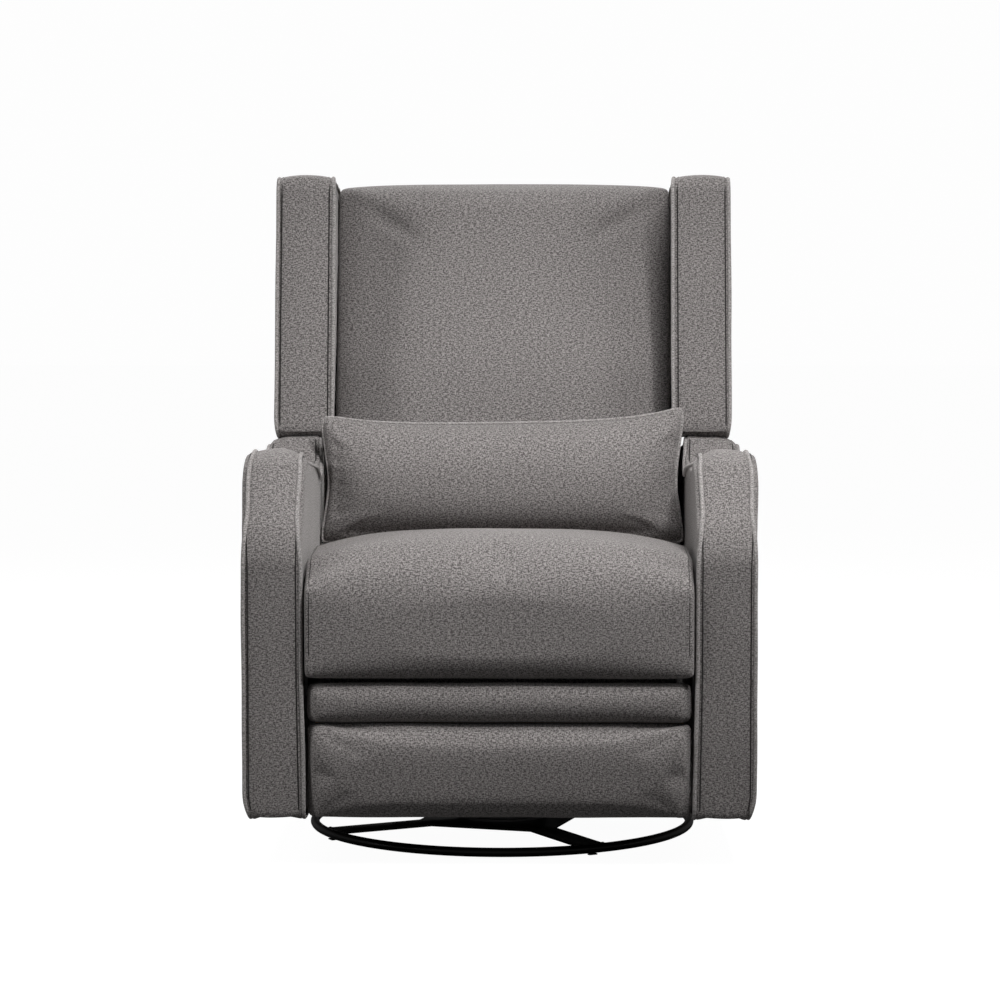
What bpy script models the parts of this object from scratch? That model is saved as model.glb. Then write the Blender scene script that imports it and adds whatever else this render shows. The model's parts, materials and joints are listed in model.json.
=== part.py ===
# Wing-back nursery chair that swivels, glides and reclines, with a fold-out footrest.
# Metres, +Z up, the chair faces -Y. Every point below is measured from the swivel axis at floor level;
# the "chair" empty then shifts the whole chair so that its footprint is centred on the origin.

import math

import bmesh
import bpy
from mathutils import Matrix, Vector

# ---------------------------------------------------------------- driving dimensions

SWIVEL_Y = -0.0155          # swivel axis, measured from the middle of the footprint
GAP = 0.0003                # clearance between pieces that touch

GLIDE_THICKNESS = 0.0018    # nylon pads under the ring
RING_RADIUS = 0.3100        # centre line of the base ring
RING_TUBE = 0.0078          # radius of its tube
RING_Z = GLIDE_THICKNESS + GAP + RING_TUBE
SPOKE_TURN = math.radians(28)
SPOKE_WIDTH = 0.045
HUB_SIDE = 0.232
CROSS_LOW = 0.0115
CROSS_HIGH = 0.0165

RACE_OUTER = 0.075
RACE_INNER = 0.0205
RACE_HIGH = 0.0208
BEARING_OUTER = 0.068
BEARING_INNER = 0.052
BEARING_HIGH = 0.0265
TURNTABLE_HIGH = 0.0308
KING_BOLT = 0.0057          # shank radius

UPRIGHT_X = (0.180, 0.184)  # inner and outer face of each plate, from the middle of the chair
LINK_X = (0.188, 0.194)
CARRIAGE_X = (0.198, 0.202)
GLIDE_PIVOT_Y = 0.13
UPPER_PIVOT_Z = 0.195
LOWER_PIVOT_Z = 0.085
GLIDE_PIN = 0.006
CROSS_TUBE = 0.0125
CROSS_TUBE_Y = 0.20
CROSS_TUBE_Z = 0.235

ARM_INNER = 0.3033
ARM_OUTER = 0.3925
ARM_FRONT = -0.400
ARM_REAR = 0.345
ARM_BOTTOM = 0.077
CORE_X = (0.339, 0.357)
CORE_Y = (-0.360, 0.305)
CORE_TOP = 0.440
BETWEEN_ARMS = ARM_INNER - GAP

SEAT_HALF = 0.2965
SEAT_FRONT = -0.415
SEAT_REAR = 0.105
SEAT_CROWN = 0.502
SEAT_LIP = 0.290
RAIL_LOW = 0.295
RAIL_HIGH = 0.340

RECLINE_PIVOT = (0.17, 0.40)    # Y and Z of the back's hinge
LEAN = math.radians(10.2)
WING_FRONT = 0.083
WING_BOTTOM = 0.639
WING_RISE = 0.447
WING_X = (0.292, 0.382)
BACK_DEPTH = 0.285
BACK_HALF = 0.286
BACK_TOP = 1.068

FOOTREST_HALF = 0.2895
FOOTREST_Z = (0.083, 0.2245, 0.2255, 0.2785)
BOARD_Y = (-0.3687, -0.357)
PAD_REAR = -0.369
LINK_HALF_WIDTH = 0.008
LINK_PIN = 0.005
PIN_HOLE = 0.0054

# Footrest pivots in the folded position, as Y and Z. The linkage is two parallelograms in a row:
# seat-rear-coupler-front, then coupler-front-lower-bracket.
REAR_PIVOT = (-0.280, 0.285)
FRONT_PIVOT = (-0.340, 0.285)
SWING = (0.050, -0.148)
REAR_KNEE = (REAR_PIVOT[0] + SWING[0], REAR_PIVOT[1] + SWING[1])
FRONT_KNEE = (FRONT_PIVOT[0] + SWING[0], FRONT_PIVOT[1] + SWING[1])
TAIL = (0.021, -0.040)
LOWER_KNEE = (FRONT_KNEE[0] + TAIL[0], FRONT_KNEE[1] + TAIL[1])
UPPER_BRACKET_PIVOT = (-0.345, 0.262)
LOWER_BRACKET_PIVOT = (UPPER_BRACKET_PIVOT[0] + TAIL[0], UPPER_BRACKET_PIVOT[1] + TAIL[1])

SIDES = (("left", -1), ("right", 1))

# name: (colour, metallic, roughness)
FINISHES = {
    "black_paint": ((0.010, 0.010, 0.011), 0.0, 0.35),
    "steel": ((0.42, 0.42, 0.43), 1.0, 0.38),
    "nylon": ((0.03, 0.03, 0.03), 0.0, 0.6),
    "wood": ((0.42, 0.28, 0.16), 0.0, 0.7),
    "cloth": ((0.085, 0.078, 0.074), 0.0, 0.95),
    "webbing": ((0.03, 0.03, 0.03), 0.0, 0.9),
}


# ---------------------------------------------------------------- outlines


def circle(center, radius, sides=16):
    turns = [2 * math.pi * step / sides for step in range(sides)]
    return [(center[0] + radius * math.cos(turn), center[1] + radius * math.sin(turn)) for turn in turns]


def rectangle(low, high):
    return [low, (high[0], low[1]), high, (low[0], high[1])]


def rounded(corners, steps=4):
    # Each corner is (across, up, radius); a radius of 0 stays sharp.
    points = []
    for index, (across, up, radius) in enumerate(corners):
        here = Vector((across, up))
        if radius == 0:
            points.append((across, up))
            continue
        back = (Vector(corners[index - 1][:2]) - here).normalized()
        ahead = (Vector(corners[(index + 1) % len(corners)][:2]) - here).normalized()
        half = back.angle(ahead) / 2
        center = here + (back + ahead).normalized() * (radius / math.sin(half))
        first = here + back * (radius / math.tan(half)) - center
        last = here + ahead * (radius / math.tan(half)) - center
        start = math.atan2(first.y, first.x)
        sweep = (math.atan2(last.y, last.x) - start + math.pi) % (2 * math.pi) - math.pi
        for step in range(steps + 1):
            turn = start + sweep * step / steps
            points.append((center.x + radius * math.cos(turn), center.y + radius * math.sin(turn)))
    return points


def strap(path, half_width, end_steps=6):
    # Outline of a flat bar with round ends that follows the path.
    path = [Vector(point) for point in path]

    def side(points):
        outline = []
        for index, point in enumerate(points):
            runs = []
            if index > 0:
                runs.append((point - points[index - 1]).normalized())
            if index < len(points) - 1:
                runs.append((points[index + 1] - point).normalized())
            along = sum(runs, Vector((0, 0))).normalized()
            across = Vector((-along.y, along.x))
            widen = 1 / across.dot(Vector((-runs[0].y, runs[0].x)))
            outline.append(point + across * half_width * widen)
        start = math.atan2(*(outline[-1] - points[-1]).yx)
        for step in range(1, end_steps):
            turn = start - math.pi * step / end_steps
            outline.append(points[-1] + Vector((math.cos(turn), math.sin(turn))) * half_width)
        return outline

    return [tuple(point) for point in side(path) + side(path[::-1])]


def turned(points, angle):
    return [
        (a * math.cos(angle) - b * math.sin(angle), a * math.sin(angle) + b * math.cos(angle))
        for a, b in points
    ]


# ---------------------------------------------------------------- solids


def spot(normal, depth, across, up):
    if normal == "x":
        return (depth, across, up)
    if normal == "y":
        return (across, depth, up)
    return (across, up, depth)


def plate(normal, faces, outline, holes=(), pins=()):
    # Flat piece between two faces. A pin is (center, radius, reach): a round stub that grows out of
    # the nearer face as far as its reach.
    low, high = sorted(faces)
    mesh = bmesh.new()
    rims = {low: [], high: []}

    def ring(points, depth):
        verts = [mesh.verts.new(spot(normal, depth, *point)) for point in points]
        edges = [mesh.edges.new((verts[index - 1], vert)) for index, vert in enumerate(verts)]
        return verts, edges

    def wall(lower, upper):
        for index in range(len(lower)):
            mesh.faces.new((lower[index - 1], lower[index], upper[index], upper[index - 1]))

    for points in (outline, *holes):
        lower, lower_rim = ring(points, low)
        upper, upper_rim = ring(points, high)
        wall(lower, upper)
        rims[low] += lower_rim
        rims[high] += upper_rim
    for center, radius, reach in pins:
        face = high if reach > high else low
        foot, foot_rim = ring(circle(center, radius), face)
        tip, _ = ring(circle(center, radius), reach)
        wall(foot, tip)
        mesh.faces.new(tip)
        rims[face] += foot_rim
    for edges in rims.values():
        bmesh.ops.triangle_fill(mesh, edges=edges, use_beauty=True)
    return mesh


def side_faces(faces, side):
    return (faces[0] * side, faces[1] * side)


def torus(radius, tube, height, around=64, across=10):
    mesh = bmesh.new()
    section = [mesh.verts.new((radius + a, 0, height + b)) for a, b in circle((0, 0), tube, across)]
    for index, vert in enumerate(section):
        mesh.edges.new((section[index - 1], vert))
    bmesh.ops.spin(
        mesh, geom=mesh.verts[:] + mesh.edges[:], cent=(0, 0, 0), axis=(0, 0, 1),
        angle=2 * math.pi, steps=around, use_merge=True, use_duplicate=False,
    )
    return mesh


def sinuous_spring(name, x, axis, finish):
    # Flat zigzag wire between the front and rear rails, a curve with a round bevel.
    front, rear, height, swing, turns, wire = -0.3328, 0.0678, 0.328, 0.024, 9, 0.0019
    curve = bpy.data.curves.new(name, "CURVE")
    curve.dimensions = "3D"
    curve.bevel_depth = wire
    curve.bevel_resolution = 0
    curve.use_fill_caps = True
    spline = curve.splines.new("POLY")
    steps = turns * 6
    spline.points.add(steps)
    for index in range(steps + 1):
        along = index / steps
        sway = swing * math.sin(2 * math.pi * turns / 2 * along)
        rise = 0.008 * math.sin(math.pi * along)
        spline.points[index].co = (x + sway, front + (rear - front) * along, height + rise, 1)
    part = bpy.data.objects.new(name, curve)
    return place(part, axis, finish)


# ---------------------------------------------------------------- scene helpers


def clear_scene():
    for item in list(bpy.data.objects):
        bpy.data.objects.remove(item, do_unlink=True)


def finish_material(name, finish):
    colour, metallic, roughness = FINISHES[finish]
    material = bpy.data.materials.new(name + "_" + finish)
    material.use_nodes = True
    shader = material.node_tree.nodes["Principled BSDF"]
    shader.inputs["Base Color"].default_value = (*colour, 1)
    shader.inputs["Metallic"].default_value = metallic
    shader.inputs["Roughness"].default_value = roughness
    material.diffuse_color = (*colour, 1)
    return material


homes = {}


def add_axis(name, parent, point):
    # Empty on a joint's axis; its home is its place before the chair is centred.
    axis = bpy.data.objects.new(name, None)
    axis.empty_display_size = 0.05
    bpy.context.collection.objects.link(axis)
    homes[axis] = Vector(point)
    axis.parent = parent
    axis.location = homes[axis] - homes.get(parent, Vector())
    return axis


def place(part, axis, finish):
    part.data.materials.append(finish_material(part.name, finish))
    bpy.context.collection.objects.link(part)
    part.parent = axis
    part.location = -homes[axis]
    return part


def add_part(name, mesh, axis, finish, smooth=False):
    bmesh.ops.recalc_face_normals(mesh, faces=mesh.faces)
    data = bpy.data.meshes.new(name)
    mesh.to_mesh(data)
    mesh.free()
    if smooth:
        data.shade_smooth()
        data.set_sharp_from_angle(angle=math.radians(40))
    return place(bpy.data.objects.new(name, data), axis, finish)


def soften(part, width, segments=2):
    bevel = part.modifiers.new("Soft edges", "BEVEL")
    bevel.width = width
    bevel.segments = segments
    bevel.limit_method = "ANGLE"
    bevel.angle_limit = math.radians(40)
    bevel.harden_normals = False
    return part


def hollow(part, cutter_mesh, axis):
    cutter = add_part(part.name + "_pocket", cutter_mesh, axis, "wood")
    cutter.hide_render = True
    cutter.display_type = "WIRE"
    cut = part.modifiers.new("Pocket", "BOOLEAN")
    cut.operation = "DIFFERENCE"
    cut.solver = "EXACT"
    cut.object = cutter


def lean_back(mesh):
    # Turns a piece drawn against the wing's front edge (depth behind it, height along it) into place.
    tilt = Matrix.Translation((0, WING_FRONT, WING_BOTTOM)) @ Matrix.Rotation(-LEAN, 4, "X")
    bmesh.ops.transform(mesh, matrix=tilt, verts=mesh.verts)
    return mesh


def up_the_lean(depth, height):
    # Distance along the leaning back at which a point this far behind its front reaches a height.
    return (height - WING_BOTTOM + depth * math.sin(LEAN)) / math.cos(LEAN)


# ---------------------------------------------------------------- base and swivel


def base_parts(chair):
    ring = torus(RING_RADIUS, RING_TUBE, RING_Z)
    add_part("base_ring", ring, chair, "black_paint", smooth=True)
    spoke_end = RING_RADIUS - RING_TUBE - GAP
    half = SPOKE_WIDTH / 2
    root = HUB_SIDE / math.sqrt(2) - half
    tip_turn = math.asin(half / spoke_end)
    outline = []
    for quarter in range(4):
        arc = [tip_turn * step / 2 for step in range(-2, 3)]
        tip = [(spoke_end * math.cos(turn), spoke_end * math.sin(turn)) for turn in arc]
        outline += turned([(root, -half), *tip, (root, half)], SPOKE_TURN + quarter * math.pi / 2)
    hole = circle((0, 0), KING_BOLT + 2 * GAP)
    cross = plate("z", (CROSS_LOW, CROSS_HIGH), outline, holes=[hole])
    add_part("base_cross", cross, chair, "black_paint")
    corner = 0.003
    pad = rounded([
        (-0.006, -0.013, corner), (0.006, -0.013, corner), (0.006, 0.013, corner), (-0.006, 0.013, corner),
    ], 3)
    for quarter in range(4):
        turn = SPOKE_TURN + quarter * math.pi / 2
        moved = turned([(a + RING_RADIUS, b) for a, b in pad], turn)
        add_part(f"floor_glide_{quarter + 1}", plate("z", (0, GLIDE_THICKNESS), moved), chair, "nylon")


def swivel_parts(chair):
    def washer(low, high, outer, inner, sides=32):
        return plate("z", (low, high), circle((0, 0), outer, sides), holes=[circle((0, 0), inner, sides)])

    race = washer(CROSS_HIGH + GAP, RACE_HIGH, RACE_OUTER, RACE_INNER)
    add_part("swivel_lower_race", race, chair, "steel", smooth=True)
    bearing = washer(RACE_HIGH + GAP, BEARING_HIGH, BEARING_OUTER, BEARING_INNER)
    add_part("swivel_bearing", bearing, chair, "steel", smooth=True)
    head = plate(
        "z", (CROSS_LOW - GAP - 0.005, CROSS_LOW - GAP), circle((0, 0), 0.0105, 6),
        pins=[((0, 0), KING_BOLT, TURNTABLE_HIGH + 0.013)],
    )
    add_part("king_bolt", head, chair, "steel")
    nut = plate(
        "z", (TURNTABLE_HIGH + GAP, TURNTABLE_HIGH + 0.0103), circle((0, 0), 0.0115, 6),
        holes=[circle((0, 0), KING_BOLT + GAP)],
    )
    add_part("king_bolt_nut", nut, chair, "steel")


def turntable_parts(turntable):
    reach = UPRIGHT_X[0] - GAP
    corners = [
        (-reach, -0.060, 0.004), (-0.080, -0.060, 0.020), (-0.060, -0.085, 0.020),
        (0.060, -0.085, 0.020), (0.080, -0.060, 0.020), (reach, -0.060, 0.004),
        (reach, 0.060, 0.004), (0.080, 0.060, 0.020), (0.060, 0.085, 0.020),
        (-0.060, 0.085, 0.020), (-0.080, 0.060, 0.020), (-reach, 0.060, 0.004),
    ]
    hole = circle((0, 0), KING_BOLT + 0.0009)
    top = plate("z", (BEARING_HIGH + GAP, TURNTABLE_HIGH), rounded(corners, 2), holes=[hole])
    add_part("turntable_plate", top, turntable, "black_paint")
    corners = [
        (-0.060, BEARING_HIGH + GAP, 0.004), (0.060, BEARING_HIGH + GAP, 0.004), (0.150, 0.165, 0.015),
        (0.150, 0.213, 0.010), (0.108, 0.213, 0.010), (0.085, 0.170, 0.012),
        (-0.085, 0.170, 0.012), (-0.108, 0.213, 0.010), (-0.150, 0.213, 0.010), (-0.150, 0.165, 0.015),
    ]
    holes = [circle((y, UPPER_PIVOT_Z), GLIDE_PIN + 0.0005) for y in (-GLIDE_PIVOT_Y, GLIDE_PIVOT_Y)]
    for name, side in SIDES:
        upright = plate("x", side_faces(UPRIGHT_X, side), rounded(corners, 3), holes=holes)
        add_part("glide_upright_" + name, upright, turntable, "black_paint")


# ---------------------------------------------------------------- glide


def glide_links(where, axis, y):
    upper = (y, UPPER_PIVOT_Z)
    lower = (y, LOWER_PIVOT_Z)
    for name, side in SIDES:
        pins = [
            (upper, GLIDE_PIN, (UPRIGHT_X[0] - 0.0015) * side),
            (lower, GLIDE_PIN, (CARRIAGE_X[1] + 0.0015) * side),
        ]
        link = plate("x", side_faces(LINK_X, side), strap([upper, lower], 0.016, 8), pins=pins)
        add_part(f"glide_link_{where}_{name}", link, axis, "steel")


def carriage_parts(carriage):
    corners = [
        (-0.148, 0.068, 0.015), (0.148, 0.068, 0.015), (0.222, 0.215, 0.015), (0.222, 0.256, 0.010),
        (-0.222, 0.256, 0.010), (-0.222, 0.215, 0.015),
    ]
    holes = []
    for y in (-1, 1):
        holes.append(circle((y * GLIDE_PIVOT_Y, LOWER_PIVOT_Z), GLIDE_PIN + 0.0005))
        holes.append(circle((y * CROSS_TUBE_Y, CROSS_TUBE_Z), CROSS_TUBE + GAP, 20))
    for name, side in SIDES:
        sheet = plate("x", side_faces(CARRIAGE_X, side), rounded(corners, 3), holes=holes)
        add_part("carriage_plate_" + name, sheet, carriage, "black_paint")
    for name, y in (("front", -CROSS_TUBE_Y), ("rear", CROSS_TUBE_Y)):
        middle = (y, CROSS_TUBE_Z)
        tube = plate(
            "x", (-BETWEEN_ARMS, BETWEEN_ARMS), circle(middle, CROSS_TUBE, 20),
            holes=[circle(middle, CROSS_TUBE - 0.002, 20)],
        )
        add_part("cross_tube_" + name, tube, carriage, "black_paint", smooth=True)


# ---------------------------------------------------------------- arms and body


def arm_outline():
    # Front band, rolled crest, dip beside the pillow, shoulder under the wing, and the rear end.
    return rounded([
        (ARM_FRONT, ARM_BOTTOM, 0.010), (ARM_REAR, ARM_BOTTOM, 0.010), (ARM_REAR, 0.553, 0.040),
        (0.255, 0.617, 0.050), (0.092, 0.630, 0.020), (0.020, 0.575, 0.040), (-0.110, 0.617, 0.100),
        (-0.262, 0.656, 0.085), (ARM_FRONT, 0.520, 0.110),
    ], 5)


def arm_parts(carriage):
    for name, side in SIDES:
        outline = plate("x", side_faces((ARM_INNER, ARM_OUTER), side), arm_outline())
        cover = soften(add_part("arm_cover_" + name, outline, carriage, "cloth"), 0.010)
        pocket = rectangle((CORE_Y[0] - GAP, ARM_BOTTOM - 0.02), (CORE_Y[1] + GAP, CORE_TOP + GAP))
        width = (CORE_X[0] - GAP, CORE_X[1] + GAP)
        hollow(cover, plate("x", side_faces(width, side), pocket), carriage)
        core = rectangle((CORE_Y[0], ARM_BOTTOM + 0.0035), (CORE_Y[1], CORE_TOP))
        add_part("arm_core_" + name, plate("x", side_faces(CORE_X, side), core), carriage, "wood")


def body_parts(carriage):
    panel = rectangle((-BETWEEN_ARMS, 0.088), (BETWEEN_ARMS, 0.335))
    lower = plate("y", (ARM_REAR - 0.012, ARM_REAR), panel)
    soften(add_part("rear_lower_panel", lower, carriage, "cloth"), 0.003, 1)
    for name, side in SIDES:
        # Steel angle bolted to the arm; the seat frame rests on its flange.
        angle = [
            (0.274 * side, 0.2908), (BETWEEN_ARMS * side, 0.2908), (BETWEEN_ARMS * side, RAIL_LOW - GAP),
            (0.274 * side, RAIL_LOW - GAP),
        ]
        leg = [(0.2990 * side, 0.2580), (BETWEEN_ARMS * side, 0.2580)]
        profile = [leg[0], leg[1], angle[2], angle[3], angle[0], (0.2990 * side, 0.2908)]
        ledge = plate("y", (-0.325, 0.115), profile)
        add_part("seat_ledge_" + name, ledge, carriage, "steel")
        collar = plate(
            "x", side_faces((0.2938, BETWEEN_ARMS), side), circle(RECLINE_PIVOT, 0.010),
            pins=[(RECLINE_PIVOT, 0.006, 0.2872 * side)],
        )
        add_part("recline_bolt_" + name, collar, carriage, "steel")


# ---------------------------------------------------------------- seat


def seat_parts(carriage):
    outer = rectangle((-0.292, -0.365), (0.292, 0.100))
    inner = rectangle((-0.272, -0.335), (0.272, 0.070))
    add_part("seat_frame", plate("z", (RAIL_LOW, RAIL_HIGH), outer, holes=[inner]), carriage, "wood")
    for index, x in enumerate((-0.14, 0.0, 0.14)):
        sinuous_spring(f"seat_spring_{index + 1}", x, carriage, "steel")
    profile = rounded([
        (SEAT_FRONT, SEAT_LIP, 0.012), (-0.3657, SEAT_LIP, 0.006), (-0.3657, RAIL_HIGH + 0.005, 0),
        (SEAT_REAR, RAIL_HIGH + 0.005, 0.012), (SEAT_REAR, 0.440, 0.030), (-0.190, SEAT_CROWN + 0.003, 0.300),
        (-0.350, SEAT_CROWN, 0.060), (SEAT_FRONT, 0.455, 0.040),
    ], 4)
    cushion = plate("x", (-SEAT_HALF, SEAT_HALF), profile)
    soften(add_part("seat_cushion", cushion, carriage, "cloth"), 0.018)
    corners = [
        (-0.362, 0.273, 0.006), (-0.262, 0.273, 0.010), (-0.215, 0.300, 0.006), (-0.215, 0.336, 0.006),
        (-0.332, 0.336, 0.006), (-0.332, RAIL_LOW - 0.0008, 0), (-0.362, RAIL_LOW - 0.0008, 0.003),
    ]
    holes = [circle(pivot, PIN_HOLE) for pivot in (REAR_PIVOT, FRONT_PIVOT)]
    for name, side in SIDES:
        mount = plate("x", side_faces((0.268, 0.2717), side), rounded(corners, 3), holes=holes)
        add_part("footrest_mount_" + name, mount, carriage, "black_paint")


def release_tab(axis):
    # Webbing strap tucked between the seat cushion and the right arm.
    outline = rounded([(-0.030, 0.330, 0), (0.010, 0.330, 0), (0.010, 0.446, 0.012), (-0.030, 0.446, 0.012)])
    add_part("release_tab", plate("x", (0.2985, 0.3005), outline), axis, "webbing")


def pillow(axis):
    profile = rounded([
        (-0.030, 0.474, 0.030), (0.052, 0.474, 0.030), (0.078, 0.580, 0.200), (0.076, 0.684, 0.030),
        (0.010, 0.684, 0.030), (-0.040, 0.580, 0.150),
    ])
    solid = plate("x", (-0.300, 0.300), profile)
    soften(add_part("lumbar_pillow", solid, axis, "cloth"), 0.020)


# ---------------------------------------------------------------- back


def back_parts(back):
    rear = BACK_DEPTH
    wing = rounded([
        (0, 0, 0.015), (rear, up_the_lean(rear, WING_BOTTOM), 0.025), (rear, WING_RISE + 0.028, 0.045),
        (0, WING_RISE, 0.025),
    ])
    for name, side in SIDES:
        solid = lean_back(plate("x", side_faces(WING_X, side), wing))
        soften(add_part("wing_" + name, solid, back, "cloth"), 0.010)
        path = [RECLINE_PIVOT, (0.293, 0.388), (0.307, 0.470)]
        bore = circle(RECLINE_PIVOT, 0.0065)
        bracket = plate("x", side_faces((0.2905, 0.2935), side), strap(path, 0.014), holes=[bore])
        add_part("recline_bracket_" + name, bracket, back, "black_paint")
    cushion = rounded([
        (0.246, up_the_lean(0.246, 0.375), 0.010), (0.246, up_the_lean(0.246, BACK_TOP - 0.004), 0.020),
        (0.138, up_the_lean(0.138, BACK_TOP), 0.030),
        (0.078, 0.130, 0.500), (0.066, -0.150, 0.060), (0.092, up_the_lean(0.092, 0.375), 0.015),
    ], 5)
    solid = lean_back(plate("x", (-BACK_HALF, BACK_HALF), cushion))
    soften(add_part("back_cushion", solid, back, "cloth"), 0.018)
    low = up_the_lean(0.256, 0.352)
    high = up_the_lean(0.256, BACK_TOP - 0.020)
    half = WING_X[0] - 0.0018
    rail = 0.045
    middle = 0.120
    outer = rectangle((-half, low), (half, high))
    windows = [
        rectangle((-half + rail, low + rail), (half - rail, middle)),
        rectangle((-half + rail, middle + rail), (half - rail, high - rail)),
    ]
    ladder = lean_back(plate("y", (0.2466, 0.2645), outer, holes=windows))
    add_part("back_frame", ladder, back, "wood")
    half = WING_X[0] - 0.0005
    panel = rectangle((-half, up_the_lean(rear, 0.350)), (half, up_the_lean(rear, BACK_TOP - 0.008)))
    solid = lean_back(plate("y", (0.2650, rear), panel))
    soften(add_part("back_outer_panel", solid, back, "cloth"), 0.008, 1)


# ---------------------------------------------------------------- footrest


def footrest_links(axes):
    # Five layers side by side: mount, rear and front links, coupler, lower link, bracket.
    links, coupler, lower, bracket = (0.262, 0.265), (0.256, 0.259), (0.250, 0.253), (0.244, 0.247)
    through = 0.0015
    for name, side in SIDES:
        def layer(faces, path, holes=(), pins=()):
            ends = [(center, LINK_PIN, reach * side) for center, reach in pins]
            openings = [circle(center, PIN_HOLE) for center in holes]
            return plate("x", side_faces(faces, side), strap(path, LINK_HALF_WIDTH), openings, ends)

        pins = [(REAR_PIVOT, 0.2732), (REAR_KNEE, coupler[0] - through)]
        rear = layer(links, [REAR_PIVOT, REAR_KNEE], pins=pins)
        add_part("footrest_rear_link_" + name, rear, axes["rear_link"], "steel")
        pins = [
            (FRONT_PIVOT, 0.2732), (FRONT_KNEE, coupler[0] - through), (LOWER_KNEE, lower[0] - through),
        ]
        front = layer(links, [FRONT_PIVOT, FRONT_KNEE, LOWER_KNEE], pins=pins)
        add_part("footrest_front_link_" + name, front, axes["front_link"], "steel")
        path = [REAR_KNEE, FRONT_KNEE, UPPER_BRACKET_PIVOT]
        bar = layer(coupler, path, holes=path[:2], pins=[(UPPER_BRACKET_PIVOT, bracket[0] - through)])
        add_part("footrest_coupler_" + name, bar, axes["coupler"], "steel")
        path = [LOWER_KNEE, LOWER_BRACKET_PIVOT]
        bar = layer(lower, path, holes=path[:1], pins=[(LOWER_BRACKET_PIVOT, bracket[0] - through)])
        add_part("footrest_lower_link_" + name, bar, axes["lower_link"], "steel")
        corners = [
            (BOARD_Y[1] + GAP, 0.110, 0), (BOARD_Y[1] + GAP, 0.2715, 0), (-0.338, 0.2715, 0.006),
            (-0.311, 0.216, 0.008), (-0.340, 0.110, 0.004),
        ]
        holes = [circle(UPPER_BRACKET_PIVOT, PIN_HOLE), circle(LOWER_BRACKET_PIVOT, PIN_HOLE)]
        sheet = plate("x", side_faces(bracket, side), rounded(corners, 3), holes=holes)
        add_part("footrest_bracket_" + name, sheet, axes["footrest"], "black_paint")


def footrest_pads(axis):
    board = plate("y", BOARD_Y, rectangle((-0.284, 0.088), (0.284, 0.272)))
    add_part("footrest_board", board, axis, "wood")
    low, lower_top, upper_low, top = FOOTREST_Z
    for name, bottom, ceiling in (("lower", low, lower_top), ("upper", upper_low, top)):
        shape = rectangle((-FOOTREST_HALF, bottom), (FOOTREST_HALF, ceiling))
        pad = plate("y", (SEAT_FRONT, PAD_REAR), shape)
        soften(add_part(f"footrest_{name}_pad", pad, axis, "cloth"), 0.010)


# ---------------------------------------------------------------- assembly


def build():
    clear_scene()
    chair = add_axis("chair", None, (0, 0, 0))
    chair.location = (0, SWIVEL_Y, 0)
    turntable = add_axis("swivel_axis", chair, (0, 0, BEARING_HIGH))
    rear_links = add_axis("rear_link_axis", turntable, (0, GLIDE_PIVOT_Y, UPPER_PIVOT_Z))
    front_links = add_axis("front_link_axis", turntable, (0, -GLIDE_PIVOT_Y, UPPER_PIVOT_Z))
    carriage = add_axis("carriage_axis", rear_links, (0, GLIDE_PIVOT_Y, LOWER_PIVOT_Z))
    back = add_axis("recline_axis", carriage, (0, *RECLINE_PIVOT))
    footrest_axes = {
        "rear_link": add_axis("footrest_rear_axis", carriage, (0, *REAR_PIVOT)),
        "front_link": add_axis("footrest_front_axis", carriage, (0, *FRONT_PIVOT)),
    }
    footrest_axes["coupler"] = add_axis("coupler_axis", footrest_axes["front_link"], (0, *FRONT_KNEE))
    footrest_axes["lower_link"] = add_axis("lower_link_axis", footrest_axes["front_link"], (0, *LOWER_KNEE))
    footrest_axes["footrest"] = add_axis("footrest_axis", footrest_axes["coupler"], (0, *UPPER_BRACKET_PIVOT))
    tab_axis = add_axis("release_axis", carriage, (0.2995, -0.010, 0.430))
    pillow_axis = add_axis("pillow_axis", carriage, (0, 0.020, 0.580))

    base_parts(chair)
    swivel_parts(chair)
    turntable_parts(turntable)
    glide_links("rear", rear_links, GLIDE_PIVOT_Y)
    glide_links("front", front_links, -GLIDE_PIVOT_Y)
    carriage_parts(carriage)
    arm_parts(carriage)
    body_parts(carriage)
    seat_parts(carriage)
    back_parts(back)
    footrest_links(footrest_axes)
    footrest_pads(footrest_axes["footrest"])
    release_tab(tab_axis)
    pillow(pillow_axis)


build()
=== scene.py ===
# Glider nursery chair: the looks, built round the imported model.
# Every piece takes its place from a CAD node; lengths are metres.
import json
import math

import bpy
import numpy as np
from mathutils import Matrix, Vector, noise

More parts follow.
